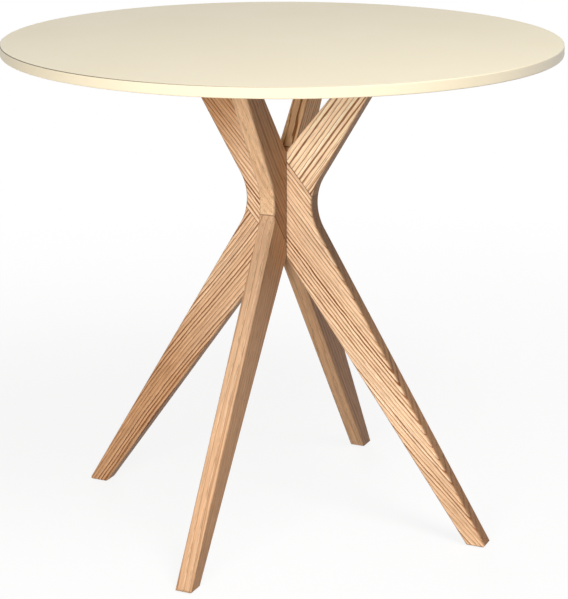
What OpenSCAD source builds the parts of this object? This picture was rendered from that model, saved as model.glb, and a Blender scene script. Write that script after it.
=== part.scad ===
// Round dining table: a thin lacquered disc on two crossed wooden X frames.
// Each frame is one through board with a short arm and a short leg dowelled to its sides.
// Frame A lies along X and frame B along Y. They slide together in a cross lap at the waist.

/* [Top] */
// Height of the top face above the floor
table_h = 725; // [690:1:770]
// Diameter of the top
top_d = 800; // [700:5:1000]
// Thickness of the top
top_t = 15; // [13:0.5:25]
// Radius of the eased edges of the rim
rim_r = 1.5; // [0.5:0.25:4]

/* [Frames] */
// Thickness of the frame boards
board_t = 25; // [22:0.5:32]
// Height of the waist, the narrowest place, as a share of the table's height
waist_share = 0.674; // [0.65:0.002:0.69]
// Half width at the waist, before its hollow is rounded
waist_half = 40; // [36:0.5:48]
// Radius of the rounded hollow at the waist
waist_r = 75; // [50:1:90]
// Drop from the waist to the fork between the legs
leg_fork_drop = 68; // [60:0.5:84]
// Rise from the waist to the fork between the arms
arm_fork_rise = 61.5; // [52:0.5:76]
// Setback of the eased long edges
ease = 3; // [1:0.25:4]
// Side clearance of the cross lap
lap_gap = 0.1; // [0.05:0.05:0.3]

/* [Legs and arms] */
// Distance from the table's axis to the outer side of a foot
foot_out = 333; // [300:1:370]
// Level width of a foot
foot_w = 31; // [28:0.5:40]
// Radius of the outer lower corner of a foot
foot_out_r = 4; // [1:0.5:5]
// Radius of the inner lower corner of a foot
foot_in_r = 9; // [2:0.5:12]
// Distance from the table's axis to the outer side of an arm's end
arm_out = 170; // [160:1:190]
// Level width of an arm's end
arm_w = 42; // [38:0.5:50]

/* [Glued joints] */
// Distance of an arm's glued joint beyond the line of the opposite arm's inner side
joint_step = 9.4; // [7:0.2:11]
// Diameter of a dowel
dowel_d = 8; // [6:0.5:9]
// Length of a dowel
dowel_l = 30; // [20:1:32]
// Distance between the two dowels of a joint
dowel_pitch = 18; // [15:0.5:20]
// Shift of the dowels towards the fork, from the joint's point nearest the waist's centre
dowel_shift = 2.5; // [1.5:0.25:3.5]
// Side clearance of a dowel in its hole
dowel_gap = 0.05; // [0.02:0.01:0.1]
// Room for glue at each end of a dowel
glue_room = 0.5; // [0.25:0.25:1]

/* [Mounting cross] */
// Thickness of the steel cross under the top
cross_t = 4; // [3:0.5:6]
// Width of the arms of the cross
cross_w = 40; // [34:1:60]
// Cut corner of the arms of the cross
cross_cut = 6; // [2:0.5:10]
// Distance from the inner side of an arm's end to its screw
arm_screw_in = 14; // [12:0.5:16]
// Distance from the inner side of an arm's end to the inner top screws
top_screw_in = 38; // [28:1:70]
// Distance from the outer side of an arm's end to the outer top screws
top_screw_out = 20; // [15:1:45]
// Distance from the outer top screws to the ends of the cross
top_screw_end = 15; // [12:0.5:20]

/* [Screws and inserts] */
// Diameter of the screws
screw_d = 6; // [5:0.5:6]
// Clearance hole for a screw in the cross
screw_hole_d = 6.6; // [6.4:0.1:7.5]
// Side clearance of a screw in an insert
thread_gap = 0.05; // [0.02:0.01:0.1]
// Outer diameter of a threaded insert
insert_d = 10; // [9:0.5:12]
// Side clearance of an insert in the wood
insert_gap = 0.05; // [0.02:0.01:0.1]
// Length of the inserts in the top
top_insert_l = 9; // [8:0.5:10]
// Length of the inserts in the arms
arm_insert_l = 18; // [14:0.5:20]
// Length of a top screw inside its insert
top_screw_grip = 8; // [5:0.5:8.5]
// Length of an arm screw inside its insert
arm_screw_grip = 16; // [10:0.5:17]
// Diameter of a screw head
head_d = 12; // [10:0.5:12]
// Height of the round head of a top screw
head_h = 3.5; // [2.5:0.25:5]
// Width across the flats of a screw's hexagon socket
socket_w = 4; // [3:0.5:4]
// Depth of a screw's hexagon socket
socket_deep = 2; // [1:0.25:2.5]
// Depth of a countersunk head below the face of the cross
head_sink = 0.2; // [0.1:0.05:0.4]
// Blind depth left beyond the end of an insert
insert_room = 1; // [0.5:0.25:2]

/* [Glides] */
// Diameter of a glide under a foot
glide_d = 14; // [10:0.5:16]
// Thickness of a glide's head
glide_t = 2.5; // [2:0.25:4]
// Height of a glide that shows below the foot
glide_show = 1; // [0.5:0.25:1.5]
// Diameter of a glide's stem
stem_d = 5; // [4:0.25:6]
// Length of a glide's stem
stem_l = 12; // [8:0.5:14]
// Distance from the outer side of a foot to its glide
glide_in = 15; // [13:0.5:18]
// Side clearance of a glide's head in its recess
glide_gap = 0.25; // [0.1:0.05:0.5]
// Side clearance of a glide's stem in its hole
stem_gap = 0.05; // [0.02:0.01:0.1]

/* [Hidden] */
$fn = 96;

// Room by which a cutter runs past the face that it opens
past = 2;
// Largest reach of a cutter that halves a frame
far = 2 * table_h;
// Offset that makes the arc of an eased edge cross the faces, where a true quarter would graze them
ease_cross = 0.4;
// Extra radius that makes a rounding arc cross the sides that it joins, for the same reason
arc_cross = 0.02;
// Cut corner of small turned pieces
small_cut = 0.8;

underside_h = table_h - top_t;
seat_h = underside_h - cross_t;
waist_h = table_h * waist_share;
leg_fork_h = waist_h - leg_fork_drop;
arm_fork_h = waist_h + arm_fork_rise;
lap_h = (leg_fork_h + arm_fork_h) / 2;
foot_in = foot_out - foot_w;
arm_in = arm_out - arm_w;
arm_screw_at = arm_in + arm_screw_in;
top_screw_near = arm_in - top_screw_in;
top_screw_far = arm_out + top_screw_out;
cross_reach = top_screw_far + top_screw_end;
glide_at = foot_out - glide_in;

function unit(v) = v / norm(v);
function mid_way(a, b) = unit(unit(a) + unit(b));
function half_angle(a, b) = acos(unit(a) * unit(b)) / 2;

// Corners of the right half of a frame, as distance from the axis and height
foot_outer = [foot_out, glide_show];
foot_inner = [foot_in, glide_show];
leg_fork = [0, leg_fork_h];
waist = [waist_half, waist_h];
arm_outer = [arm_out, seat_h];
arm_inner = [arm_in, seat_h];
arm_fork = [0, arm_fork_h];
to_foot = unit(foot_outer - waist);
to_arm = unit(arm_outer - waist);
waist_half_angle = half_angle(to_foot, to_arm);
waist_run = waist_r / tan(waist_half_angle);
waist_centre = waist + mid_way(to_foot, to_arm) * waist_r / sin(waist_half_angle);

// A glued joint runs beside the inner side of the opposite arm. Its slope is from the vertical,
// and joint_off is its distance from the centre of the waist.
joint_slope = atan2(arm_in, seat_h - arm_fork_h);
joint_off = arm_fork_rise * sin(joint_slope) + joint_step;

// Direction across a glued joint, and along it towards the waist's side
joint_out = [cos(joint_slope), sin(joint_slope)];
joint_run = [sin(joint_slope), -cos(joint_slope)];
waist_mid = [0, waist_h];
joint_mid = waist_mid + joint_out * joint_off;

// The piece between a corner and the arc that rounds it, for the corner's two sides a and b.
// It runs past the corner, so that it overlaps the wood that it joins or cuts.
module corner_web(p, a, b, r) {
  half = half_angle(a, b);
  run = r / tan(half);
  centre = p + mid_way(a, b) * r / sin(half);
  difference() {
    polygon([p - mid_way(a, b) * past, p + unit(a) * run, centre, p + unit(b) * run]);
    translate(centre) circle(r + arc_cross);
  }
}

// The outline of a whole frame, lying in the XY plane
module frame_outline() {
  difference() {
    union() {
      polygon([foot_outer, waist, arm_outer, arm_inner, arm_fork,
        [-arm_in, seat_h], [-arm_out, seat_h], [-waist_half, waist_h],
        [-foot_out, glide_show], [-foot_in, glide_show], leg_fork, foot_inner]);
      for (side = [0, 1]) mirror([side, 0]) corner_web(waist, to_foot, to_arm, waist_r);
    }
    for (side = [0, 1]) mirror([side, 0]) {
      corner_web(foot_outer, -to_foot, [-1, 0], foot_out_r);
      corner_web(foot_inner, leg_fork - foot_inner, [1, 0], foot_in_r);
    }
  }
}

// Everything past the joint of the short arm, on the arm's own side of the axis
module arm_side() {
  intersection() {
    translate(waist_mid) rotate(joint_slope) translate([joint_off, -far]) square([far, 2 * far]);
    translate([0, -far]) square([far, 2 * far]);
  }
}

// The same for the short leg, half a turn round the centre of the waist
module leg_side() {
  translate(waist_mid) rotate(180) translate(-waist_mid) arm_side();
}

// Section of the cutter that eases a long edge. The wood is at positive x and negative y.
module ease_section() {
  difference() {
    translate([-past, -ease - ease_cross]) square(past + ease + ease_cross);
    translate([ease + ease_cross, -ease - ease_cross]) circle(norm([ease + ease_cross, ease_cross]));
  }
}

// Eases the edge from p to q, with the wood on its left
module ease_edge(p, q) {
  run = q - p;
  translate([p.x, p.y, board_t / 2]) rotate([0, 0, atan2(run.y, run.x)]) rotate([90, 0, 90])
    linear_extrude(norm(run)) ease_section();
}

// Eases the hollow of the waist, and runs on over the straight sides until it has left them
module ease_waist() {
  r = waist_r + arc_cross;
  over = 2 * acos(waist_r / r);
  from_centre = waist + to_arm * waist_run - waist_centre;
  translate([waist_centre.x, waist_centre.y, board_t / 2])
    rotate([0, 0, atan2(from_centre.y, from_centre.x) - over])
    rotate_extrude(angle = 180 - 2 * waist_half_angle + 2 * over) translate([r, 0]) ease_section();
}

// All the long edges of a frame and the edges under its feet, on both sides and both faces.
// At the forks the easing stops inside the crossing, where the other frame covers it.
module eased_edges() {
  fork_to_foot = unit(foot_inner - leg_fork);
  fork_to_arm = unit(arm_inner - arm_fork);
  covered = board_t / 4;
  run_out = past + ease;
  for (side = [0, 1], face = [0, 1]) mirror([side, 0, 0]) mirror([0, 0, face]) {
    ease_edge(foot_outer + to_foot * run_out, waist + to_foot * waist_run);
    ease_waist();
    ease_edge(waist + to_arm * waist_run, arm_outer + to_arm * run_out);
    ease_edge(arm_inner + fork_to_arm * run_out, arm_fork + fork_to_arm * covered / fork_to_arm.x);
    ease_edge(leg_fork + fork_to_foot * covered / fork_to_foot.x, foot_inner + fork_to_foot * run_out);
    ease_edge(foot_inner - [run_out, 0], foot_outer + [run_out, 0]);
  }
}

// Places a copy at each dowel of the short arm's joint, with z across the joint
module at_arm_dowels() {
  for (step = [-0.5, 0.5]) {
    p = joint_mid - joint_run * (dowel_shift + step * dowel_pitch);
    translate([p.x, p.y, 0]) rotate([0, 0, joint_slope]) rotate([0, 90, 0]) children();
  }
}

module at_leg_dowels() {
  translate([0, 2 * waist_h, 0]) rotate([0, 0, 180]) at_arm_dowels() children();
}

module dowel_hole() {
  cylinder(h = dowel_l + 2 * glue_room, d = dowel_d + 2 * dowel_gap, center = true);
}

module dowel() {
  rotate_extrude() polygon([[0, -dowel_l / 2], [dowel_d / 2 - small_cut, -dowel_l / 2],
    [dowel_d / 2, -dowel_l / 2 + small_cut], [dowel_d / 2, dowel_l / 2 - small_cut],
    [dowel_d / 2 - small_cut, dowel_l / 2], [0, dowel_l / 2]]);
}

// The cross lap of frame A opens upwards, that of frame B downwards
module lap_slot(opens_up) {
  lap_w = board_t + 2 * lap_gap;
  translate([-lap_w / 2, opens_up ? lap_h : lap_h - far, -board_t]) cube([lap_w, far, 2 * board_t]);
}

// Blind holes for the inserts in the arm ends
module arm_insert_holes() {
  for (side = [-1, 1]) translate([side * arm_screw_at, seat_h + past, 0]) rotate([90, 0, 0])
    cylinder(h = past + arm_insert_l + insert_room, d = insert_d + 2 * insert_gap);
}

// Recess and stem hole for a glide in each foot
module glide_holes() {
  for (side = [-1, 1]) translate([side * glide_at, 0, 0]) rotate([-90, 0, 0]) {
    cylinder(h = glide_t, d = glide_d + 2 * glide_gap);
    cylinder(h = glide_t + stem_l + glue_room, d = stem_d + 2 * stem_gap);
  }
}

// One board of a frame, lying in the XY plane, from its outline given as a child
module frame_board(lap_opens_up) {
  difference() {
    linear_extrude(board_t, center = true) children();
    eased_edges();
    at_arm_dowels() dowel_hole();
    at_leg_dowels() dowel_hole();
    lap_slot(lap_opens_up);
    arm_insert_holes();
    glide_holes();
  }
}

module through_board(lap_opens_up) {
  frame_board(lap_opens_up) difference() {
    frame_outline();
    arm_side();
    leg_side();
  }
}

module short_arm(lap_opens_up) {
  frame_board(lap_opens_up) intersection() {
    frame_outline();
    arm_side();
  }
}

module short_leg(lap_opens_up) {
  frame_board(lap_opens_up) intersection() {
    frame_outline();
    leg_side();
  }
}

module stand_a() {
  rotate([90, 0, 0]) children();
}

module stand_b() {
  rotate([0, 0, 90]) stand_a() children();
}

module ash() {
  color([0.87, 0.70, 0.52]) children();
}

module frame_a_through_board() {
  ash() stand_a() through_board(true);
}

module frame_a_short_arm() {
  ash() stand_a() short_arm(true);
}

module frame_a_short_leg() {
  ash() stand_a() short_leg(true);
}

module frame_a_arm_dowels() {
  color([0.80, 0.60, 0.40]) stand_a() at_arm_dowels() dowel();
}

module frame_a_leg_dowels() {
  color([0.80, 0.60, 0.40]) stand_a() at_leg_dowels() dowel();
}

module frame_b_through_board() {
  ash() stand_b() through_board(false);
}

module frame_b_short_arm() {
  ash() stand_b() short_arm(false);
}

module frame_b_short_leg() {
  ash() stand_b() short_leg(false);
}

module frame_b_arm_dowels() {
  color([0.80, 0.60, 0.40]) stand_b() at_arm_dowels() dowel();
}

module frame_b_leg_dowels() {
  color([0.80, 0.60, 0.40]) stand_b() at_leg_dowels() dowel();
}

// Places a copy at each screw of the top, and at each screw of an arm
module at_top_screws() {
  for (turn = [0:90:270], reach = [top_screw_near, top_screw_far])
    rotate([0, 0, turn]) translate([reach, 0, 0]) children();
}

module at_arm_screws() {
  for (turn = [0:90:270]) rotate([0, 0, turn]) translate([arm_screw_at, 0, 0]) children();
}

function arc(centre, r, from, to, steps = 5) =
  [for (i = [0:steps]) let (a = from + (to - from) * i / steps) centre + r * [cos(a), sin(a)]];

module tabletop() {
  rim_x = top_d / 2 - rim_r;
  color([0.96, 0.93, 0.85]) difference() {
    rotate_extrude($fn = 240) polygon(concat([[0, underside_h]],
      arc([rim_x, underside_h + rim_r], rim_r, -90, 0),
      arc([rim_x, table_h - rim_r], rim_r, 0, 90), [[0, table_h]]));
    at_top_screws() translate([0, 0, underside_h - past])
      cylinder(h = past + top_insert_l + insert_room, d = insert_d + 2 * insert_gap);
  }
}

// One arm of the cross, from end to end, with cut corners
module cross_bar() {
  half = cross_w / 2;
  polygon([[cross_reach - cross_cut, -half], [cross_reach, cross_cut - half],
    [cross_reach, half - cross_cut], [cross_reach - cross_cut, half],
    [cross_cut - cross_reach, half], [-cross_reach, half - cross_cut],
    [-cross_reach, cross_cut - half], [cross_cut - cross_reach, -half]]);
}

module mounting_cross() {
  sink_d = head_d + 2 * (head_sink + thread_gap);
  color([0.18, 0.18, 0.19]) translate([0, 0, seat_h]) difference() {
    linear_extrude(cross_t) union() {
      cross_bar();
      rotate(90) cross_bar();
    }
    at_top_screws() translate([0, 0, -past]) cylinder(h = cross_t + 2 * past, d = screw_hole_d);
    at_arm_screws() {
      translate([0, 0, -past]) cylinder(h = cross_t + 2 * past, d = screw_hole_d);
      translate([0, 0, cross_t - sink_d / 2])
        cylinder(h = sink_d / 2 + past, d1 = 0, d2 = sink_d + 2 * past);
    }
  }
}

// A threaded insert, standing on z = 0, with two grooves that the glue keys into
module insert(l) {
  groove = 0.6;
  difference() {
    cylinder(h = l, d = insert_d);
    translate([0, 0, -past]) cylinder(h = l + 2 * past, d = screw_d + 2 * thread_gap);
    for (third = [1, 2]) translate([0, 0, third * l / 3 - groove / 2]) difference() {
      cylinder(h = groove, d = insert_d + past);
      translate([0, 0, -past]) cylinder(h = groove + 2 * past, d = insert_d - groove);
    }
  }
}

module top_inserts() {
  color([0.76, 0.66, 0.40]) at_top_screws() translate([0, 0, underside_h]) insert(top_insert_l);
}

module arm_inserts() {
  color([0.76, 0.66, 0.40]) at_arm_screws() translate([0, 0, seat_h - arm_insert_l]) insert(arm_insert_l);
}

module socket() {
  cylinder(h = socket_deep + past, d = socket_w / cos(30), $fn = 6);
}

// A round-headed screw under the cross, pointing up
module top_screws() {
  color([0.55, 0.55, 0.57]) at_top_screws() translate([0, 0, seat_h]) difference() {
    rotate_extrude() polygon([[0, -head_h], [head_d / 3, -head_h], [head_d / 2, -head_h / 3],
      [head_d / 2, 0], [screw_d / 2, 0], [screw_d / 2, cross_t + top_screw_grip - small_cut],
      [screw_d / 2 - small_cut, cross_t + top_screw_grip], [0, cross_t + top_screw_grip]]);
    translate([0, 0, -head_h - past]) socket();
  }
}

// A countersunk screw in the cross, pointing down
module arm_screws() {
  cone_h = (head_d - screw_d) / 2;
  under_head = cross_t - head_sink + arm_screw_grip;
  color([0.55, 0.55, 0.57]) at_arm_screws() translate([0, 0, underside_h - head_sink]) difference() {
    rotate_extrude() polygon([[0, 0], [head_d / 2, 0], [screw_d / 2, -cone_h],
      [screw_d / 2, small_cut - under_head], [screw_d / 2 - small_cut, -under_head],
      [0, -under_head]]);
    translate([0, 0, -socket_deep]) socket();
  }
}

// A glide under the foot that stands at angle turn
module glide(turn) {
  color([0.90, 0.89, 0.86]) rotate([0, 0, turn]) translate([glide_at, 0, 0])
    rotate_extrude() polygon([[0, 0], [glide_d / 2 - small_cut, 0], [glide_d / 2, small_cut],
      [glide_d / 2, glide_t], [stem_d / 2, glide_t], [stem_d / 2, glide_t + stem_l - small_cut],
      [stem_d / 2 - small_cut, glide_t + stem_l], [0, glide_t + stem_l]]);
}

module glide_right() {
  glide(0);
}

module glide_back() {
  glide(90);
}

module glide_left() {
  glide(180);
}

module glide_front() {
  glide(270);
}

tabletop();
mounting_cross();
top_inserts();
top_screws();
arm_inserts();
arm_screws();
frame_a_through_board();
frame_a_short_arm();
frame_a_short_leg();
frame_a_arm_dowels();
frame_a_leg_dowels();
frame_b_through_board();
frame_b_short_arm();
frame_b_short_leg();
frame_b_arm_dowels();
frame_b_leg_dowels();
glide_left();
glide_right();
glide_front();
glide_back();
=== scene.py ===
"""Looks of the round dining table: a cream lacquered top on two crossed frames of oiled ash,
held by a black steel cross with zinc plated screws and brass inserts, on white nylon glides."""

import math

import bpy
from mathutils import Matrix, Vector

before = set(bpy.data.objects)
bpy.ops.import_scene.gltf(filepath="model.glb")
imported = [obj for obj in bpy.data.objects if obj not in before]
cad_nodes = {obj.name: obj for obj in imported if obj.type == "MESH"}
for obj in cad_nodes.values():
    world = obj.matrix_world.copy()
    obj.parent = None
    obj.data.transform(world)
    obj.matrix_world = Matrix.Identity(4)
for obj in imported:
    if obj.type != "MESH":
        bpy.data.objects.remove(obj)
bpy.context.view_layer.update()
scene = bpy.context.scene

# Where the boards meet, in metres and radians, as in the part's source.
WAIST_HEIGHT = 0.48865
HALF_BOARD = 0.0125
BUTT_SLOPE = math.radians(39.4)
BUTT_OFFSET = 0.04844

# Places of the colour sockets on the Mix node, whose kinds share their names.
MIX_FIRST, MIX_SECOND, MIX_RESULT = 6, 7, 2

UP = (0, 0, 1)

# How fast the grain of most boards sways, in radians for each metre of grain.
USUAL_SWAY = 10.5


# Small helpers for shader nodes. A value is a socket to link, or a plain number, place or colour.
def feed(tree, socket, value):
    if isinstance(value, bpy.types.NodeSocket):
        tree.links.new(value, socket)
    else:
        socket.default_value = value


def add_node(tree, kind, **settings):
    made = tree.nodes.new(kind)
    for name, value in settings.items():
        setattr(made, name, value)
    return made


def calc(tree, operation, *values, clamp=False):
    made = add_node(tree, "ShaderNodeMath", operation=operation, use_clamp=clamp)
    for socket, value in zip(made.inputs, values):
        feed(tree, socket, value)
    return made.outputs["Value"]


def calc_vector(tree, operation, *values):
    made = add_node(tree, "ShaderNodeVectorMath", operation=operation)
    for socket, value in zip(made.inputs, values):
        feed(tree, socket, value)
    scalar = operation in ("LENGTH", "DOT_PRODUCT")
    return made.outputs["Value" if scalar else "Vector"]


def scale_vector(tree, vector, factor):
    made = add_node(tree, "ShaderNodeVectorMath", operation="SCALE")
    feed(tree, made.inputs[0], vector)
    feed(tree, made.inputs["Scale"], factor)
    return made.outputs["Vector"]


def turned_to(tree, direction):
    """How squarely the surface faces a direction: 1 towards it, 0 across it, -1 away from it."""
    facing = add_node(tree, "ShaderNodeNewGeometry").outputs["Normal"]
    return calc_vector(tree, "DOT_PRODUCT", facing, direction)


def noise(tree, place, stretch, detail=2.0, roughness=0.5):
    """Noise over a place in metres. Stretch is the number of patches per metre along each axis."""
    made = add_node(tree, "ShaderNodeTexNoise")
    feed(tree, made.inputs["Vector"], calc_vector(tree, "MULTIPLY", place, stretch))
    made.inputs["Scale"].default_value = 1.0
    made.inputs["Detail"].default_value = detail
    made.inputs["Roughness"].default_value = roughness
    return made.outputs["Fac"]


def remap(tree, value, low, high, to_low=0.0, to_high=1.0, smooth=False):
    made = add_node(tree, "ShaderNodeMapRange", clamp=True)
    made.interpolation_type = "SMOOTHSTEP" if smooth else "LINEAR"
    for socket, number in zip(made.inputs, (value, low, high, to_low, to_high)):
        feed(tree, socket, number)
    return made.outputs["Result"]


def curve(tree, value, stops):
    """A value that follows the given (position, height) stops as its input goes from 0 to 1."""
    made = add_node(tree, "ShaderNodeValToRGB")
    steps = made.color_ramp.elements
    while len(steps) < len(stops):
        steps.new(0.5)
    for step, (position, height) in zip(steps, stops):
        step.position = position
        step.color = (height, height, height, 1.0)
    feed(tree, made.inputs["Fac"], value)
    return made.outputs["Color"]


def blend(tree, share, first, second, mode="MIX"):
    made = add_node(tree, "ShaderNodeMix", data_type="RGBA", blend_type=mode)
    feed(tree, made.inputs["Factor"], share)
    feed(tree, made.inputs[MIX_FIRST], first)
    feed(tree, made.inputs[MIX_SECOND], second)
    return made.outputs[MIX_RESULT]


def srgb(red, green, blue):
    """A colour given as 0 to 255 screen values, turned into the linear values that shaders take."""
    parts = []
    for part in (red, green, blue):
        part /= 255
        parts.append(part / 12.92 if part <= 0.04045 else ((part + 0.055) / 1.055) ** 2.4)
    return (*parts, 1.0)


def new_group(name, inputs, outputs):
    """An empty node group. Inputs are (name, kind, default), outputs are (name, kind)."""
    group = bpy.data.node_groups.new(name, "ShaderNodeTree")
    for label, kind, default in inputs:
        socket = group.interface.new_socket(label, in_out="INPUT", socket_type=kind)
        socket.default_value = default
    for label, kind in outputs:
        group.interface.new_socket(label, in_out="OUTPUT", socket_type=kind)
    given = group.nodes.new("NodeGroupInput").outputs
    result = group.nodes.new("NodeGroupOutput").inputs
    return group, given, result


def use_group(tree, group, **values):
    """Places a group. A name such as ring_pitch sets the input Ring Pitch."""
    made = add_node(tree, "ShaderNodeGroup", node_tree=group)
    for name, value in values.items():
        feed(tree, made.inputs[name.replace("_", " ").title()], value)
    return made.outputs


def make_slow_tone():
    """A slow drift in brightness, as in any finished surface. Patches is how many there are to a
    metre, and Depth is how far they go from the colour given."""
    group, given, result = new_group(
        "slow_tone",
        [("Place", "NodeSocketVector", (0, 0, 0)), ("Color", "NodeSocketColor", (1, 1, 1, 1)),
         ("Patches", "NodeSocketFloat", 4.0), ("Depth", "NodeSocketFloat", 0.04)],
        [("Color", "NodeSocketColor")])
    patches = scale_vector(group, given["Place"], given["Patches"])
    drift = calc(group, "SUBTRACT", noise(group, patches, (1, 1, 1), 3.0), 0.5)
    level = calc(group, "MULTIPLY_ADD", calc(group, "MULTIPLY", drift, given["Depth"]), 4.0, 1.0)
    feed(group, result["Color"], scale_vector(group, given["Color"], level))
    return group


def make_turned_edge():
    """Where a surface turns over an eased edge: 1 at the middle of the edge, 0 on both flats.
    Across is the direction that one of the two flats faces. Broken is how far patches fade."""
    group, given, result = new_group(
        "turned_edge",
        [("Place", "NodeSocketVector", (0, 0, 0)), ("Across", "NodeSocketVector", UP),
         ("Broken", "NodeSocketFloat", 0.5)],
        [("Mask", "NodeSocketFloat")])
    towards = turned_to(group, given["Across"])
    square = calc(group, "MULTIPLY", towards, towards)
    middle = calc(group, "MULTIPLY", calc(group, "MULTIPLY", square, 4.0),
                  calc(group, "SUBTRACT", 1.0, square))
    patchy = remap(group, noise(group, given["Place"], (60, 60, 60), 3.0), 0.35, 0.65)
    kept = calc(group, "SUBTRACT", 1.0, calc(group, "MULTIPLY", patchy, given["Broken"]))
    feed(group, result["Mask"], calc(group, "MULTIPLY", remap(group, middle, 0.15, 0.95), kept))
    return group


def make_fine_skin():
    """The fine skin of a sprayed, powder coated or moulded surface, as a height from 0 to 1.
    Lumps is how many there are to a metre, and Grit is the share of finer, sharper ones."""
    group, given, result = new_group(
        "fine_skin",
        [("Place", "NodeSocketVector", (0, 0, 0)), ("Lumps", "NodeSocketFloat", 300.0),
         ("Grit", "NodeSocketFloat", 0.3)],
        [("Height", "NodeSocketFloat")])
    lumps = scale_vector(group, given["Place"], given["Lumps"])
    soft = noise(group, lumps, (1, 1, 1), 1.0)
    sharp = noise(group, lumps, (6, 6, 6), 2.0, 0.7)
    share = given["Grit"]
    feed(group, result["Height"],
         calc(group, "ADD", calc(group, "MULTIPLY", soft, calc(group, "SUBTRACT", 1.0, share)),
              calc(group, "MULTIPLY", sharp, share)))
    return group


def make_joint_lines():
    """Thin dark lines where two boards meet: beside the other frame at the waist, and along the
    glued butt joints. Across is the level direction of the frame. Lengths are in metres."""
    group, given, result = new_group(
        "joint_lines",
        [("Place", "NodeSocketVector", (0, 0, 0)), ("Across", "NodeSocketVector", (1, 0, 0)),
         ("Waist", "NodeSocketFloat", WAIST_HEIGHT), ("Half Board", "NodeSocketFloat", HALF_BOARD),
         ("Butt Offset", "NodeSocketFloat", BUTT_OFFSET), ("Width", "NodeSocketFloat", 0.0011)],
        [("Mask", "NodeSocketFloat")])
    parts = add_node(group, "ShaderNodeSeparateXYZ")
    feed(group, parts.inputs[0], given["Place"])
    along = calc_vector(group, "DOT_PRODUCT", given["Place"], given["Across"])
    corner = calc(group, "ABSOLUTE", calc(
        group, "SUBTRACT", calc(group, "ABSOLUTE", along), given["Half Board"]))
    rise = calc(group, "SUBTRACT", parts.outputs["Z"], given["Waist"])
    past_joint = calc(group, "ADD", calc(group, "MULTIPLY", along, math.cos(BUTT_SLOPE)),
                      calc(group, "MULTIPLY", rise, math.sin(BUTT_SLOPE)))
    butt = calc(group, "ABSOLUTE", calc(
        group, "SUBTRACT", calc(group, "ABSOLUTE", past_joint), given["Butt Offset"]))
    beside = calc(group, "GREATER_THAN", calc(group, "MULTIPLY", past_joint, along), 0.0)
    near_corner = remap(group, corner, 0.0, given["Width"], 1.0, 0.0)
    near_butt = calc(group, "MULTIPLY", remap(group, butt, 0.0, given["Width"], 0.8, 0.0), beside)
    feed(group, result["Mask"], calc(group, "MAXIMUM", near_corner, near_butt))
    return group


# Noise patches for each metre of wood: along the grain, then across it twice.
SLOW_SWING = (1.6, 11, 11)
QUICK_SWING = (24, 150, 150)
PORE_MARKS = (55, 1100, 1100)
FIBRE_MARKS = (16, 380, 380)

# How strongly each kind of wood shows across one ring, as (place in the ring, strength).
LATE_WOOD = [(0.0, 0.7), (0.04, 0.25), (0.1, 0.0), (0.5, 0.0), (0.72, 0.12), (0.84, 0.55),
             (0.92, 1.0), (1.0, 1.0)]
EARLY_WOOD = [(0.0, 1.0), (0.22, 0.75), (0.40, 0.12), (0.9, 0.15), (1.0, 1.0)]
PALE_STREAK = [(0.08, 0.0), (0.17, 1.0), (0.30, 0.1), (0.5, 0.0)]


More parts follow.
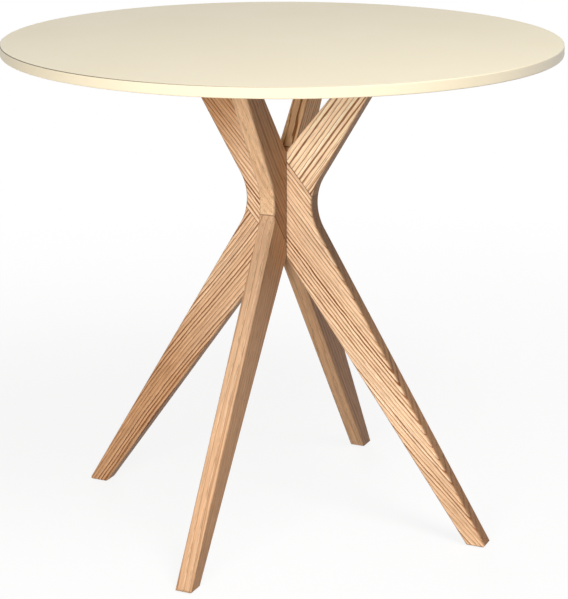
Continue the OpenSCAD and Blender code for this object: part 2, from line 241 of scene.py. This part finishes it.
def make_ring_figure():
    """Annual rings, pores and fibre of a ring-porous wood. Place is in metres in the board's own
    frame, with x along the grain and z through the thickness. The rings lie round a pith line
    along x. Wave is how far in metres the grain sways to each side, and Sway is how fast, in
    radians for each metre of grain."""
    group, given, result = new_group(
        "ring_figure",
        [("Place", "NodeSocketVector", (0, 0, 0)), ("Pith", "NodeSocketVector", (0, 0.3, -0.2)),
         ("Ring Pitch", "NodeSocketFloat", 0.006), ("Wander", "NodeSocketFloat", 0.6),
         ("Wave", "NodeSocketFloat", 0.0), ("Sway", "NodeSocketFloat", USUAL_SWAY)],
        [("Line", "NodeSocketFloat"), ("Streak", "NodeSocketFloat"), ("Pore", "NodeSocketFloat"),
         ("Fibre", "NodeSocketFloat"), ("Height", "NodeSocketFloat")])
    place = given["Place"]
    parts = add_node(group, "ShaderNodeSeparateXYZ")
    feed(group, parts.inputs[0], place)
    swing_to = calc(group, "SINE", calc(group, "MULTIPLY", parts.outputs["X"], given["Sway"]))
    sideways = add_node(group, "ShaderNodeCombineXYZ")
    feed(group, sideways.inputs["Y"], calc(group, "MULTIPLY", swing_to, given["Wave"]))
    bent = calc_vector(group, "ADD", place, sideways.outputs[0])
    from_pith = calc_vector(group, "MULTIPLY",
                            calc_vector(group, "SUBTRACT", bent, given["Pith"]), (0, 1, 1))
    radius = calc_vector(group, "LENGTH", from_pith)
    rings = calc(group, "DIVIDE", radius, given["Ring Pitch"])
    slow = calc(group, "SUBTRACT", noise(group, place, SLOW_SWING), 0.5)
    quick = calc(group, "SUBTRACT", noise(group, place, QUICK_SWING), 0.5)
    swing = calc(group, "MULTIPLY", given["Wander"],
                 calc(group, "MULTIPLY_ADD", slow, 3.0, calc(group, "MULTIPLY", quick, 0.9)))
    rings = calc(group, "ADD", rings, swing)
    unequal = add_node(group, "ShaderNodeTexNoise", noise_dimensions="1D")
    feed(group, unequal.inputs["W"], calc(group, "MULTIPLY", rings, 0.55))
    unequal.inputs["Detail"].default_value = 1.0
    rings = calc(group, "MULTIPLY_ADD", unequal.outputs["Fac"], 0.7, rings)
    ring = calc(group, "FRACT", rings)
    own = add_node(group, "ShaderNodeTexWhiteNoise", noise_dimensions="1D")
    feed(group, own.inputs["W"], calc(group, "FLOOR", rings))
    strength = remap(group, own.outputs["Value"], 0.0, 1.0, 0.5, 1.1)
    late = curve(group, ring, LATE_WOOD)
    feed(group, result["Line"], calc(group, "MULTIPLY", late, strength))
    streak = curve(group, ring, PALE_STREAK)
    feed(group, result["Streak"], calc(group, "MULTIPLY", strength, streak))
    early = curve(group, ring, EARLY_WOOD)
    grain = noise(group, place, PORE_MARKS, 2.0, 0.7)
    pore = calc(group, "MULTIPLY", remap(group, grain, 0.50, 0.64), early)
    feed(group, result["Pore"], pore)
    fibre = noise(group, place, FIBRE_MARKS, 4.0, 0.7)
    feed(group, result["Fibre"], fibre)
    ridge = calc(group, "MULTIPLY_ADD", late, 0.35, calc(group, "MULTIPLY", fibre, 0.4))
    pit = calc(group, "MULTIPLY", pore, 0.6)
    feed(group, result["Height"], calc(group, "SUBTRACT", ridge, pit))
    return group


slow_tone = make_slow_tone()
turned_edge = make_turned_edge()
fine_skin = make_fine_skin()
joint_lines = make_joint_lines()
ring_figure = make_ring_figure()


def new_material(name, **fixed):
    """A material with its Principled shader, whose fixed values are set on its own sockets."""
    made = bpy.data.materials.new(name)
    made.use_nodes = True
    tree = made.node_tree
    tree.nodes.clear()
    surface = add_node(tree, "ShaderNodeBsdfPrincipled")
    end = add_node(tree, "ShaderNodeOutputMaterial")
    tree.links.new(surface.outputs[0], end.inputs["Surface"])
    for label, value in fixed.items():
        surface.inputs[label.replace("_", " ").title().replace("Ior", "IOR")].default_value = value
    place = add_node(tree, "ShaderNodeTexCoord").outputs["Object"]
    return made, tree, surface.inputs, place


def raise_skin(tree, skin, height, strength, distance):
    """Turns a height into relief. Distance is how far a height of 1 stands out, in metres."""
    bump = add_node(tree, "ShaderNodeBump")
    bump.inputs["Strength"].default_value = strength
    bump.inputs["Distance"].default_value = distance
    feed(tree, bump.inputs["Height"], height)
    feed(tree, skin["Normal"], bump.outputs["Normal"])


def board_place(tree, place, grain, face, shift):
    """Turns the object's coordinates into a board's own: x along grain, z along face."""
    face = Vector(face).normalized()
    side = face.cross(grain)
    turn = Matrix((grain, side, face)).to_euler("XYZ")
    mapping = add_node(tree, "ShaderNodeMapping")
    mapping.inputs["Rotation"].default_value = turn
    mapping.inputs["Location"].default_value = shift
    feed(tree, mapping.inputs["Vector"], place)
    return mapping.outputs["Vector"]


PALE_WOOD = srgb(236, 194, 150)
MIDDLE_WOOD = srgb(206, 156, 108)
DARK_WOOD = srgb(124, 76, 42)
PORE_WOOD = srgb(116, 74, 44)
END_WOOD = srgb(226, 196, 156)
# Pale sanded wood, which on the eased edges is also a painted highlight.
SANDED_WOOD_AND_HIGHLIGHT = srgb(252, 222, 184)
# Painted shade for the eased edges of boards whose edges lie in shade.
PAINTED_EDGE_SHADE = srgb(158, 104, 66)
JOINT_SHADE = srgb(84, 44, 26)
# The darker, browner colour of heartwood, also used for warm painted shade.
HEARTWOOD_AND_SHADE = (0.76, 0.65, 0.55)
OILED_ROUGHNESS = 0.5

CREAM = srgb(240, 228, 198)
CREAM_EDGE = srgb(228, 214, 186)
CREAM_EDGE_PAINTED_SHADE = srgb(84, 74, 58)
# Painted shade over the whole rim, and below it painted light for the rim's end away from the
# shaded side.
RIM_PAINTED_SHADE = (0.915, 0.912, 0.92, 1)
RIM_PAINTED_LIGHT = (1.03, 1.06, 1.17, 1)
PLAIN_TONE = (1, 1, 1, 1)

# On this side, the left of the photograph, the eased edge of the top has a thin dark line of
# painted shade. On the side opposite, the rim is paler with painted light.
SHADED_SIDE = (-0.909, -0.416, 0)

BLACK_COAT = srgb(26, 26, 27)
BLACK_COAT_GRIT = srgb(46, 46, 48)
BLACK_COAT_EDGE = srgb(78, 78, 80)
ZINC = srgb(196, 198, 202)
DULL_ZINC = srgb(168, 170, 176)
BRASS = srgb(214, 182, 116)
DULL_BRASS = srgb(186, 150, 86)
WHITE_NYLON = srgb(232, 229, 220)
NYLON_EDGE = srgb(205, 200, 188)
FLOOR_AS_LIT = srgb(124, 114, 104)
FLOOR_AS_SEEN = srgb(249, 249, 249)


def tint(brightness, heart_and_shade=0.0):
    """A colour to multiply wood by. Heart is the share of the darker, browner heartwood colour,
    which also gives shaded faces their warm painted shade.
    """
    return tuple(brightness * (1 - heart_and_shade + heart_and_shade * part) for part in HEARTWOOD_AND_SHADE)


def wood(name, grain, face, shift, pith, ring_pitch, wander, wave, tints_and_painted_light, roughness,
         boldness=(1.0, 0.4), hearts_and_shade=(), edge_wear_and_painted_light=(SANDED_WOOD_AND_HIGHLIGHT, 0.35), joints_across=None):
    """Oiled solid wood, whose grain runs along one direction of the board. Wave is the sway of the
    grain and its rate. Tints and boldness are those of the broad faces and of the edges. Tints hold
    the board's own colour and also painted light and shade, paler on lit faces and darker on shaded
    ones. Hearts each give two places along the grain, in metres, between which the board turns
    darker and browner, and the share of it: heartwood, and on some boards painted shade. Worn is
    the colour of the eased edges and its share: a pale one is sanded wear with a painted highlight,
    a dark one is painted shade. A board with joint lines is given the level direction of its frame
    as joints_across."""
    made, tree, skin, place = new_material(
        name, coat_weight=0.03, coat_roughness=0.45, specular_ior_level=0.25)
    broad_tint_and_painted_light, edge_tint_and_painted_light = tints_and_painted_light
    broad_lines, edge_lines = boldness
    swing, sway = wave
    edge_wear_and_painted_light_colour, edge_wear_and_painted_light_share = edge_wear_and_painted_light
    grain = Vector(grain).normalized()
    board = board_place(tree, place, grain, face, shift)
    figure = use_group(tree, ring_figure, place=board, pith=pith, ring_pitch=ring_pitch,
                       wander=wander, wave=swing, sway=sway)
    cut = calc(tree, "ABSOLUTE", turned_to(tree, grain))
    end = remap(tree, cut, 0.35, 0.95, 0.0, 0.8, smooth=True)
    broad = calc(tree, "ABSOLUTE", turned_to(tree, face))
    bold = remap(tree, broad, 0.2, 0.9, edge_lines, broad_lines)
    line = calc(tree, "MULTIPLY", figure["Line"], bold)
    colour = blend(tree, calc(tree, "MULTIPLY", line, 1.5, clamp=True), PALE_WOOD, MIDDLE_WOOD)
    colour = blend(tree, calc(tree, "POWER", line, 1.3, clamp=True), colour, DARK_WOOD)
    pale_streak = calc(tree, "MULTIPLY", figure["Streak"], calc(tree, "MULTIPLY", bold, 0.75))
    colour = blend(tree, pale_streak, colour, SANDED_WOOD_AND_HIGHLIGHT)
    colour = blend(tree, calc(tree, "MULTIPLY", figure["Pore"], 0.55), colour, PORE_WOOD)
    colour = blend(tree, calc(tree, "MULTIPLY", end, 0.6), colour, END_WOOD)
    # The eased edges take their own colour: a pale one is sanded wear with a painted highlight, a
    # dark one is painted shade.
    edge = use_group(tree, turned_edge, place=place, across=face, broken=0.6)["Mask"]
    colour = blend(tree, calc(tree, "MULTIPLY", edge, edge_wear_and_painted_light_share), colour, edge_wear_and_painted_light_colour)
    # Each face is tinted by how squarely it faces: the board's own colour together with painted
    # light and shade, paler on lit faces and darker on shaded ones.
    face_tint_and_painted_light = blend(tree, remap(tree, broad, 0.2, 0.9), (*edge_tint_and_painted_light, 1), (*broad_tint_and_painted_light, 1))
    colour = blend(tree, 1.0, colour, face_tint_and_painted_light, "MULTIPLY")
    up_grain = calc_vector(tree, "DOT_PRODUCT", place, grain)
    # Stretches along the grain turn darker and browner: heartwood, and on some boards painted
    # shade.
    for sound, heart_and_shade, share in hearts_and_shade:
        heart_and_shade_share = remap(tree, up_grain, sound, heart_and_shade, 0.0, share, smooth=True)
        colour = blend(tree, heart_and_shade_share, colour, (*HEARTWOOD_AND_SHADE, 1), "MULTIPLY")
    colour = scale_vector(tree, colour, remap(tree, figure["Fibre"], 0.32, 0.68, 0.80, 1.14))
    colour = use_group(tree, slow_tone, place=board, color=colour, patches=6.0, depth=0.05)["Color"]
    if joints_across:
        seam = use_group(tree, joint_lines, place=place, across=joints_across)["Mask"]
        colour = blend(tree, calc(tree, "MULTIPLY", seam, 0.85), colour, JOINT_SHADE)
    feed(tree, skin["Base Color"], calc_vector(tree, "MINIMUM", colour, (1, 1, 1)))
    dull = calc(tree, "MULTIPLY_ADD", figure["Pore"], 0.18, roughness)
    feed(tree, skin["Roughness"], calc(tree, "MULTIPLY_ADD", figure["Line"], -0.06, dull))
    raise_skin(tree, skin, figure["Height"], strength=0.35, distance=0.0004)
    return made


def ash_board(name, across, lean, shift, pith, ring_pitch, wave, tints_and_painted_light, boldness, wander=0.7,
              hearts_and_shade=(), edge_wear_and_painted_light=(SANDED_WOOD_AND_HIGHLIGHT, 0.35)):
    """Ash for one board of a frame. Across is the level direction that the grain leans to as it
    rises, and lean is its angle from the vertical in degrees."""
    level = Vector(across)
    angle = math.radians(lean)
    grain = level * math.sin(angle) + Vector(UP) * math.cos(angle)
    face = Vector(UP).cross(level)
    return wood(name, grain, face, shift, pith, ring_pitch, wander, wave, tints_and_painted_light, OILED_ROUGHNESS,
                boldness, hearts_and_shade, edge_wear_and_painted_light, joints_across=tuple(abs(part) for part in level))


def cream_lacquer():
    """Satin lacquer of the top. The rim is darkened with painted shade and paled with painted light
    at its end away from the shaded side, and its upper edge has a dark line of painted shade.
    """
    made, tree, skin, place = new_material(
        "cream_lacquer", coat_weight=0.1, coat_roughness=0.2, specular_ior_level=0.25)
    colour = use_group(tree, slow_tone, place=place, color=CREAM, patches=3.0,
                       depth=0.008)["Color"]
    edge = use_group(tree, turned_edge, place=place, across=UP, broken=0.7)["Mask"]
    colour = blend(tree, calc(tree, "MULTIPLY", edge, 0.25), colour, CREAM_EDGE)
    upward = turned_to(tree, UP)
    to_shade = turned_to(tree, SHADED_SIDE)
    # On the shaded side, the upper eased edge gets a thin dark line of painted shade.
    turned = use_group(tree, turned_edge, place=place, across=UP, broken=0.15)["Mask"]
    upper = calc(tree, "MULTIPLY", calc(tree, "GREATER_THAN", upward, 0.0),
                 calc(tree, "MULTIPLY", turned, 2.5, clamp=True))
    painted_shade_line = calc(tree, "MULTIPLY", upper, remap(tree, to_shade, -0.3, 0.5, 0.0, 0.95))
    colour = blend(tree, painted_shade_line, colour, CREAM_EDGE_PAINTED_SHADE)
    # The rim, not the flat faces, takes painted shade, and painted light where it faces away from
    # the shaded side.
    rim_painted_shade_and_light = blend(tree, remap(tree, to_shade, -0.6, -0.9), RIM_PAINTED_SHADE, RIM_PAINTED_LIGHT)
    on_the_flat = remap(tree, calc(tree, "ABSOLUTE", upward), 0.2, 0.9)
    rim_painted_shade_and_light = blend(tree, on_the_flat, rim_painted_shade_and_light, PLAIN_TONE)
    feed(tree, skin["Base Color"], blend(tree, 1.0, colour, rim_painted_shade_and_light, "MULTIPLY"))
    patches = noise(tree, place, (9, 9, 9), 3.0)
    feed(tree, skin["Roughness"], remap(tree, patches, 0.3, 0.7, 0.38, 0.46))
    height = use_group(tree, fine_skin, place=place, lumps=260.0, grit=0.15)["Height"]
    raise_skin(tree, skin, height, strength=0.06, distance=0.0004)
    return made


def black_powder_coat():
    """Gritty powder coat of the steel cross, rubbed a little paler along its edges."""
    made, tree, skin, place = new_material("black_powder_coat", specular_ior_level=0.4)
    grit = use_group(tree, fine_skin, place=place, lumps=900.0, grit=0.55)["Height"]
    colour = blend(tree, remap(tree, grit, 0.35, 0.7), BLACK_COAT, BLACK_COAT_GRIT)
    edge = use_group(tree, turned_edge, place=place, across=UP, broken=0.8)["Mask"]
    colour = blend(tree, calc(tree, "MULTIPLY", edge, 0.4), colour, BLACK_COAT_EDGE)
    colour = use_group(tree, slow_tone, place=place, color=colour, patches=8.0, depth=0.06)["Color"]
    feed(tree, skin["Base Color"], colour)
    feed(tree, skin["Roughness"], remap(tree, grit, 0.3, 0.7, 0.52, 0.68))
    raise_skin(tree, skin, grit, strength=0.3, distance=0.0003)
    return made


def turned_metal(name, pale, deep, rough, marks):
    """Plated or plain turned metal: fine tool marks round the part, and small dull patches.
    Marks is the number of them for each metre, across the part twice and then along it."""
    made, tree, skin, place = new_material(name, metallic=1.0)
    lines = noise(tree, place, marks)
    dull = noise(tree, place, (160, 160, 160), 3.0)
    colour = blend(tree, remap(tree, dull, 0.35, 0.7), pale, deep)
    colour = use_group(tree, slow_tone, place=place, color=colour, patches=40.0,
                       depth=0.05)["Color"]
    feed(tree, skin["Base Color"], colour)
    feed(tree, skin["Roughness"], calc(tree, "MULTIPLY_ADD", dull, 0.22, rough))
    raise_skin(tree, skin, lines, strength=0.25, distance=0.0002)
    return made


def moulded_nylon():
    """Moulded nylon of the glides, a little soiled along its edges."""
    made, tree, skin, place = new_material("white_nylon", ior=1.53)
    height = use_group(tree, fine_skin, place=place, lumps=700.0, grit=0.4)["Height"]
    edge = use_group(tree, turned_edge, place=place, across=UP, broken=0.5)["Mask"]
    colour = blend(tree, calc(tree, "MULTIPLY", edge, 0.4), WHITE_NYLON, NYLON_EDGE)
    colour = use_group(tree, slow_tone, place=place, color=colour, patches=60.0,
                       depth=0.02)["Color"]
    feed(tree, skin["Base Color"], colour)
    feed(tree, skin["Roughness"], remap(tree, height, 0.3, 0.7, 0.38, 0.52))
    raise_skin(tree, skin, height, strength=0.2, distance=0.0002)
    return made


def finish_nodes(material, *names):
    """Gives CAD nodes their material."""
    for name in names:
        mesh = cad_nodes[name].data
        mesh.materials.clear()
        mesh.materials.append(material)


ALONG_A, BACK_ALONG_A = (1, 0, 0), (-1, 0, 0)
ALONG_B, BACK_ALONG_B = (0, 1, 0), (0, -1, 0)

# Each board's tints hold painted light and shade as well as its own colour, darker on faces that
# lie in shade and paler where the light falls.
ASH_BOARDS = {
    "frame_a_through_board": dict(
        name="ash_a_through", across=BACK_ALONG_A, lean=43.5, shift=(-0.3612, 0.02, 0.00),
        pith=(0, 0.42, -0.25), ring_pitch=0.0048, wave=(0.0105, 5.4), boldness=(1.35, 0.6),
        tints_and_painted_light=((1.13, 1.20, 1.34), tint(0.65, 1.2)), edge_wear_and_painted_light=(PAINTED_EDGE_SHADE, 0.5),
        hearts_and_shade=((0.365, 0.565, 1.2), (0.425, 0.585, 0.9), (0.03, -0.19, 0.5))),
    "frame_a_short_arm": dict(
        name="ash_a_arm", across=ALONG_A, lean=37.5, shift=(0.11, 0.05, 0.02),
        pith=(0, -0.46, -0.18), ring_pitch=0.0049, wave=(0.0020, USUAL_SWAY), boldness=(1.3, 0.5),
        tints_and_painted_light=((1.22, 1.36, 1.57), tint(0.88, 1.15)), edge_wear_and_painted_light=(PAINTED_EDGE_SHADE, 0.2), wander=0.45),
    "frame_a_short_leg": dict(
        name="ash_a_leg", across=ALONG_A, lean=37.0, shift=(0.72, 0.11, 0.05),
        pith=(0, 0.45, -0.22), ring_pitch=0.0046, wave=(0.0050, USUAL_SWAY), boldness=(1.55, 0.6),
        tints_and_painted_light=((1.02, 1.02, 1.08), tint(0.98, 0.6)), edge_wear_and_painted_light=(SANDED_WOOD_AND_HIGHLIGHT, 0.2), wander=0.5,
        hearts_and_shade=((0.26, -0.06, 1.35),)),
    "frame_b_through_board": dict(
        name="ash_b_through", across=BACK_ALONG_B, lean=36.0, shift=(-0.395, 0.23, 0.00),
        pith=(0, 0.42, -0.30), ring_pitch=0.0060, wave=(-0.0040, USUAL_SWAY), boldness=(0.6, 0.3),
        tints_and_painted_light=((0.61, 0.53, 0.50), (1.03, 1.03, 1.06)), edge_wear_and_painted_light=(SANDED_WOOD_AND_HIGHLIGHT, 0.45),
        hearts_and_shade=((0.35, 0.15, 0.45),)),
    "frame_b_short_arm": dict(
        name="ash_b_arm", across=ALONG_B, lean=37.0, shift=(0.93, 0.07, 0.03),
        pith=(0, 0.33, -0.26), ring_pitch=0.0056, wave=(0.0020, USUAL_SWAY), boldness=(0.75, 0.8),
        tints_and_painted_light=(tint(1.22, 0.38), tint(1.27, 0.25))),
    "frame_b_short_leg": dict(
        name="ash_b_leg", across=ALONG_B, lean=30.5, shift=(0.47, 0.17, 0.01),
        pith=(0, 0.30, -0.30), ring_pitch=0.0060, wave=(-0.0025, USUAL_SWAY), boldness=(0.35, 0.5),
        tints_and_painted_light=((0.77, 0.70, 0.67), (0.82, 0.80, 0.84)), edge_wear_and_painted_light=(SANDED_WOOD_AND_HIGHLIGHT, 0.5), wander=0.3,
        hearts_and_shade=((0.22, -0.05, 0.4),)),
}

finish_nodes(cream_lacquer(), "tabletop")
for board_node, board_figure in ASH_BOARDS.items():
    finish_nodes(ash_board(**board_figure), board_node)
beech_dowel = wood(
    "beech_dowel", grain=(1, 0, 1), face=(0, 1, 0), shift=(0, 0, 0), pith=(0, 0.1, -0.06),
    ring_pitch=0.0022, wander=0.5, wave=(0.0, USUAL_SWAY), tints_and_painted_light=(tint(0.9), tint(0.9)),
    roughness=0.62)
finish_nodes(beech_dowel, "frame_a_arm_dowels", "frame_a_leg_dowels",
             "frame_b_arm_dowels", "frame_b_leg_dowels")
finish_nodes(black_powder_coat(), "mounting_cross")
zinc_steel = turned_metal("zinc_steel", pale=ZINC, deep=DULL_ZINC, rough=0.22,
                          marks=(300, 300, 2400))
finish_nodes(zinc_steel, "top_screws", "arm_screws")
plain_brass = turned_metal("plain_brass", pale=BRASS, deep=DULL_BRASS, rough=0.26,
                           marks=(300, 300, 2000))
finish_nodes(plain_brass, "top_inserts", "arm_inserts")
finish_nodes(moulded_nylon(), "glide_left", "glide_right", "glide_front", "glide_back")


def white_to_the_eye(tree, shader, share):
    """Mixes plain white into a backdrop shader for the rays that look at it or mirror it."""
    ray = add_node(tree, "ShaderNodeLightPath").outputs
    seen = calc(tree, "MAXIMUM", ray["Is Camera Ray"],
                calc(tree, "MAXIMUM", ray["Is Glossy Ray"], ray["Is Transmission Ray"]))
    white = add_node(tree, "ShaderNodeEmission")
    mix = add_node(tree, "ShaderNodeMixShader")
    feed(tree, mix.inputs["Fac"], calc(tree, "MULTIPLY", seen, share))
    tree.links.new(shader, mix.inputs[1])
    tree.links.new(white.outputs[0], mix.inputs[2])
    return mix.outputs[0]


FLOOR_RADIUS = 7.0
FLOOR_SIDES = 96


def lay_floor():
    """A plain pale disc under the table. From below it lets the view through."""
    turns = [2 * math.pi * side / FLOOR_SIDES for side in range(FLOOR_SIDES)]
    rim = [(FLOOR_RADIUS * math.cos(turn), FLOOR_RADIUS * math.sin(turn), 0) for turn in turns]
    mesh = bpy.data.meshes.new("floor")
    mesh.from_pydata(rim, [], [list(range(FLOOR_SIDES))])
    floor = bpy.data.objects.new("floor", mesh)
    scene.collection.objects.link(floor)
    made = bpy.data.materials.new("pale_floor")
    made.use_nodes = True
    tree = made.node_tree
    tree.nodes.clear()
    place = add_node(tree, "ShaderNodeTexCoord").outputs["Object"]
    matt = add_node(tree, "ShaderNodeBsdfPrincipled")
    straight = add_node(tree, "ShaderNodeLightPath").outputs["Is Camera Ray"]
    pale = blend(tree, straight, FLOOR_AS_LIT, FLOOR_AS_SEEN)
    colour = use_group(tree, slow_tone, place=place, color=pale, patches=0.8, depth=0.004)["Color"]
    feed(tree, matt.inputs["Base Color"], colour)
    matt.inputs["Roughness"].default_value = 0.9
    spread = calc_vector(tree, "LENGTH", place)
    shown = white_to_the_eye(tree, matt.outputs[0], remap(tree, spread, 0.7, 2.0, 0.86, 1.0))
    clear = add_node(tree, "ShaderNodeBsdfTransparent")
    either_side = add_node(tree, "ShaderNodeMixShader")
    from_below = add_node(tree, "ShaderNodeNewGeometry").outputs["Backfacing"]
    feed(tree, either_side.inputs["Fac"], from_below)
    tree.links.new(shown, either_side.inputs[1])
    tree.links.new(clear.outputs[0], either_side.inputs[2])
    end = add_node(tree, "ShaderNodeOutputMaterial")
    tree.links.new(either_side.outputs[0], end.inputs["Surface"])
    mesh.materials.append(made)


def light_world():
    """An even, slightly warm fill from all round, seen as white."""
    world = bpy.data.worlds.new("studio")
    scene.world = world
    world.use_nodes = True
    tree = world.node_tree
    tree.nodes.clear()
    fill = add_node(tree, "ShaderNodeBackground")
    fill.inputs["Color"].default_value = (1.0, 0.97, 0.93, 1.0)
    fill.inputs["Strength"].default_value = 0.16
    end = add_node(tree, "ShaderNodeOutputWorld")
    tree.links.new(white_to_the_eye(tree, fill.outputs[0], 1.0), end.inputs["Surface"])


def hang_lamp(name, place, target, size, power, mirrored=True):
    """A softbox that points at a target. Lengths are in metres and power is in watts."""
    lamp = bpy.data.lights.new(name, "AREA")
    lamp.shape = "RECTANGLE"
    lamp.size, lamp.size_y = size
    lamp.energy = power
    made = bpy.data.objects.new(name, lamp)
    made.location = place
    made.rotation_euler = (Vector(target) - Vector(place)).to_track_quat("-Z", "Y").to_euler()
    made.visible_glossy = mirrored
    scene.collection.objects.link(made)


lay_floor()
light_world()
hang_lamp("front_softbox", place=(0.37, -3.3, 1.0), target=(0, 0, 0.4), size=(1.7, 1.6),
          power=98, mirrored=False)
hang_lamp("overhead_softbox", place=(1.4, -1.0, 2.6), target=(0.3, -0.2, 0.7), size=(1.1, 1.1),
          power=49)
hang_lamp("back_softbox", place=(-1.9, 2.8, 0.75), target=(0, 0, 0.4), size=(1.6, 1.2),
          power=50, mirrored=False)

# The camera stands where the photograph was taken from, worked out from the legs, rim and feet.
# Lengths are in metres and angles in radians. The lens and the longer side of the picture are in
# pixels of the photograph, and the film width is in millimetres.
AXIS_TO_LENS = 2.7273
LENS_HEIGHT = 1.1348
BEARING = 0.4289
PITCH_DOWN = 0.2848
TURN_RIGHT = 0.001
LENS_PIXELS = 1912.8
FRAME_PIXELS = 599
FILM_WIDTH = 36

camera = bpy.data.cameras.new("camera")
camera.lens = LENS_PIXELS * FILM_WIDTH / FRAME_PIXELS
camera.clip_end = 50
eye = bpy.data.objects.new("camera", camera)
eye.location = (AXIS_TO_LENS * math.sin(BEARING), -AXIS_TO_LENS * math.cos(BEARING), LENS_HEIGHT)
eye.rotation_euler = (math.pi / 2 - PITCH_DOWN, 0, BEARING - TURN_RIGHT)
scene.collection.objects.link(eye)
scene.camera = eye
scene.view_settings.view_transform = "Standard"
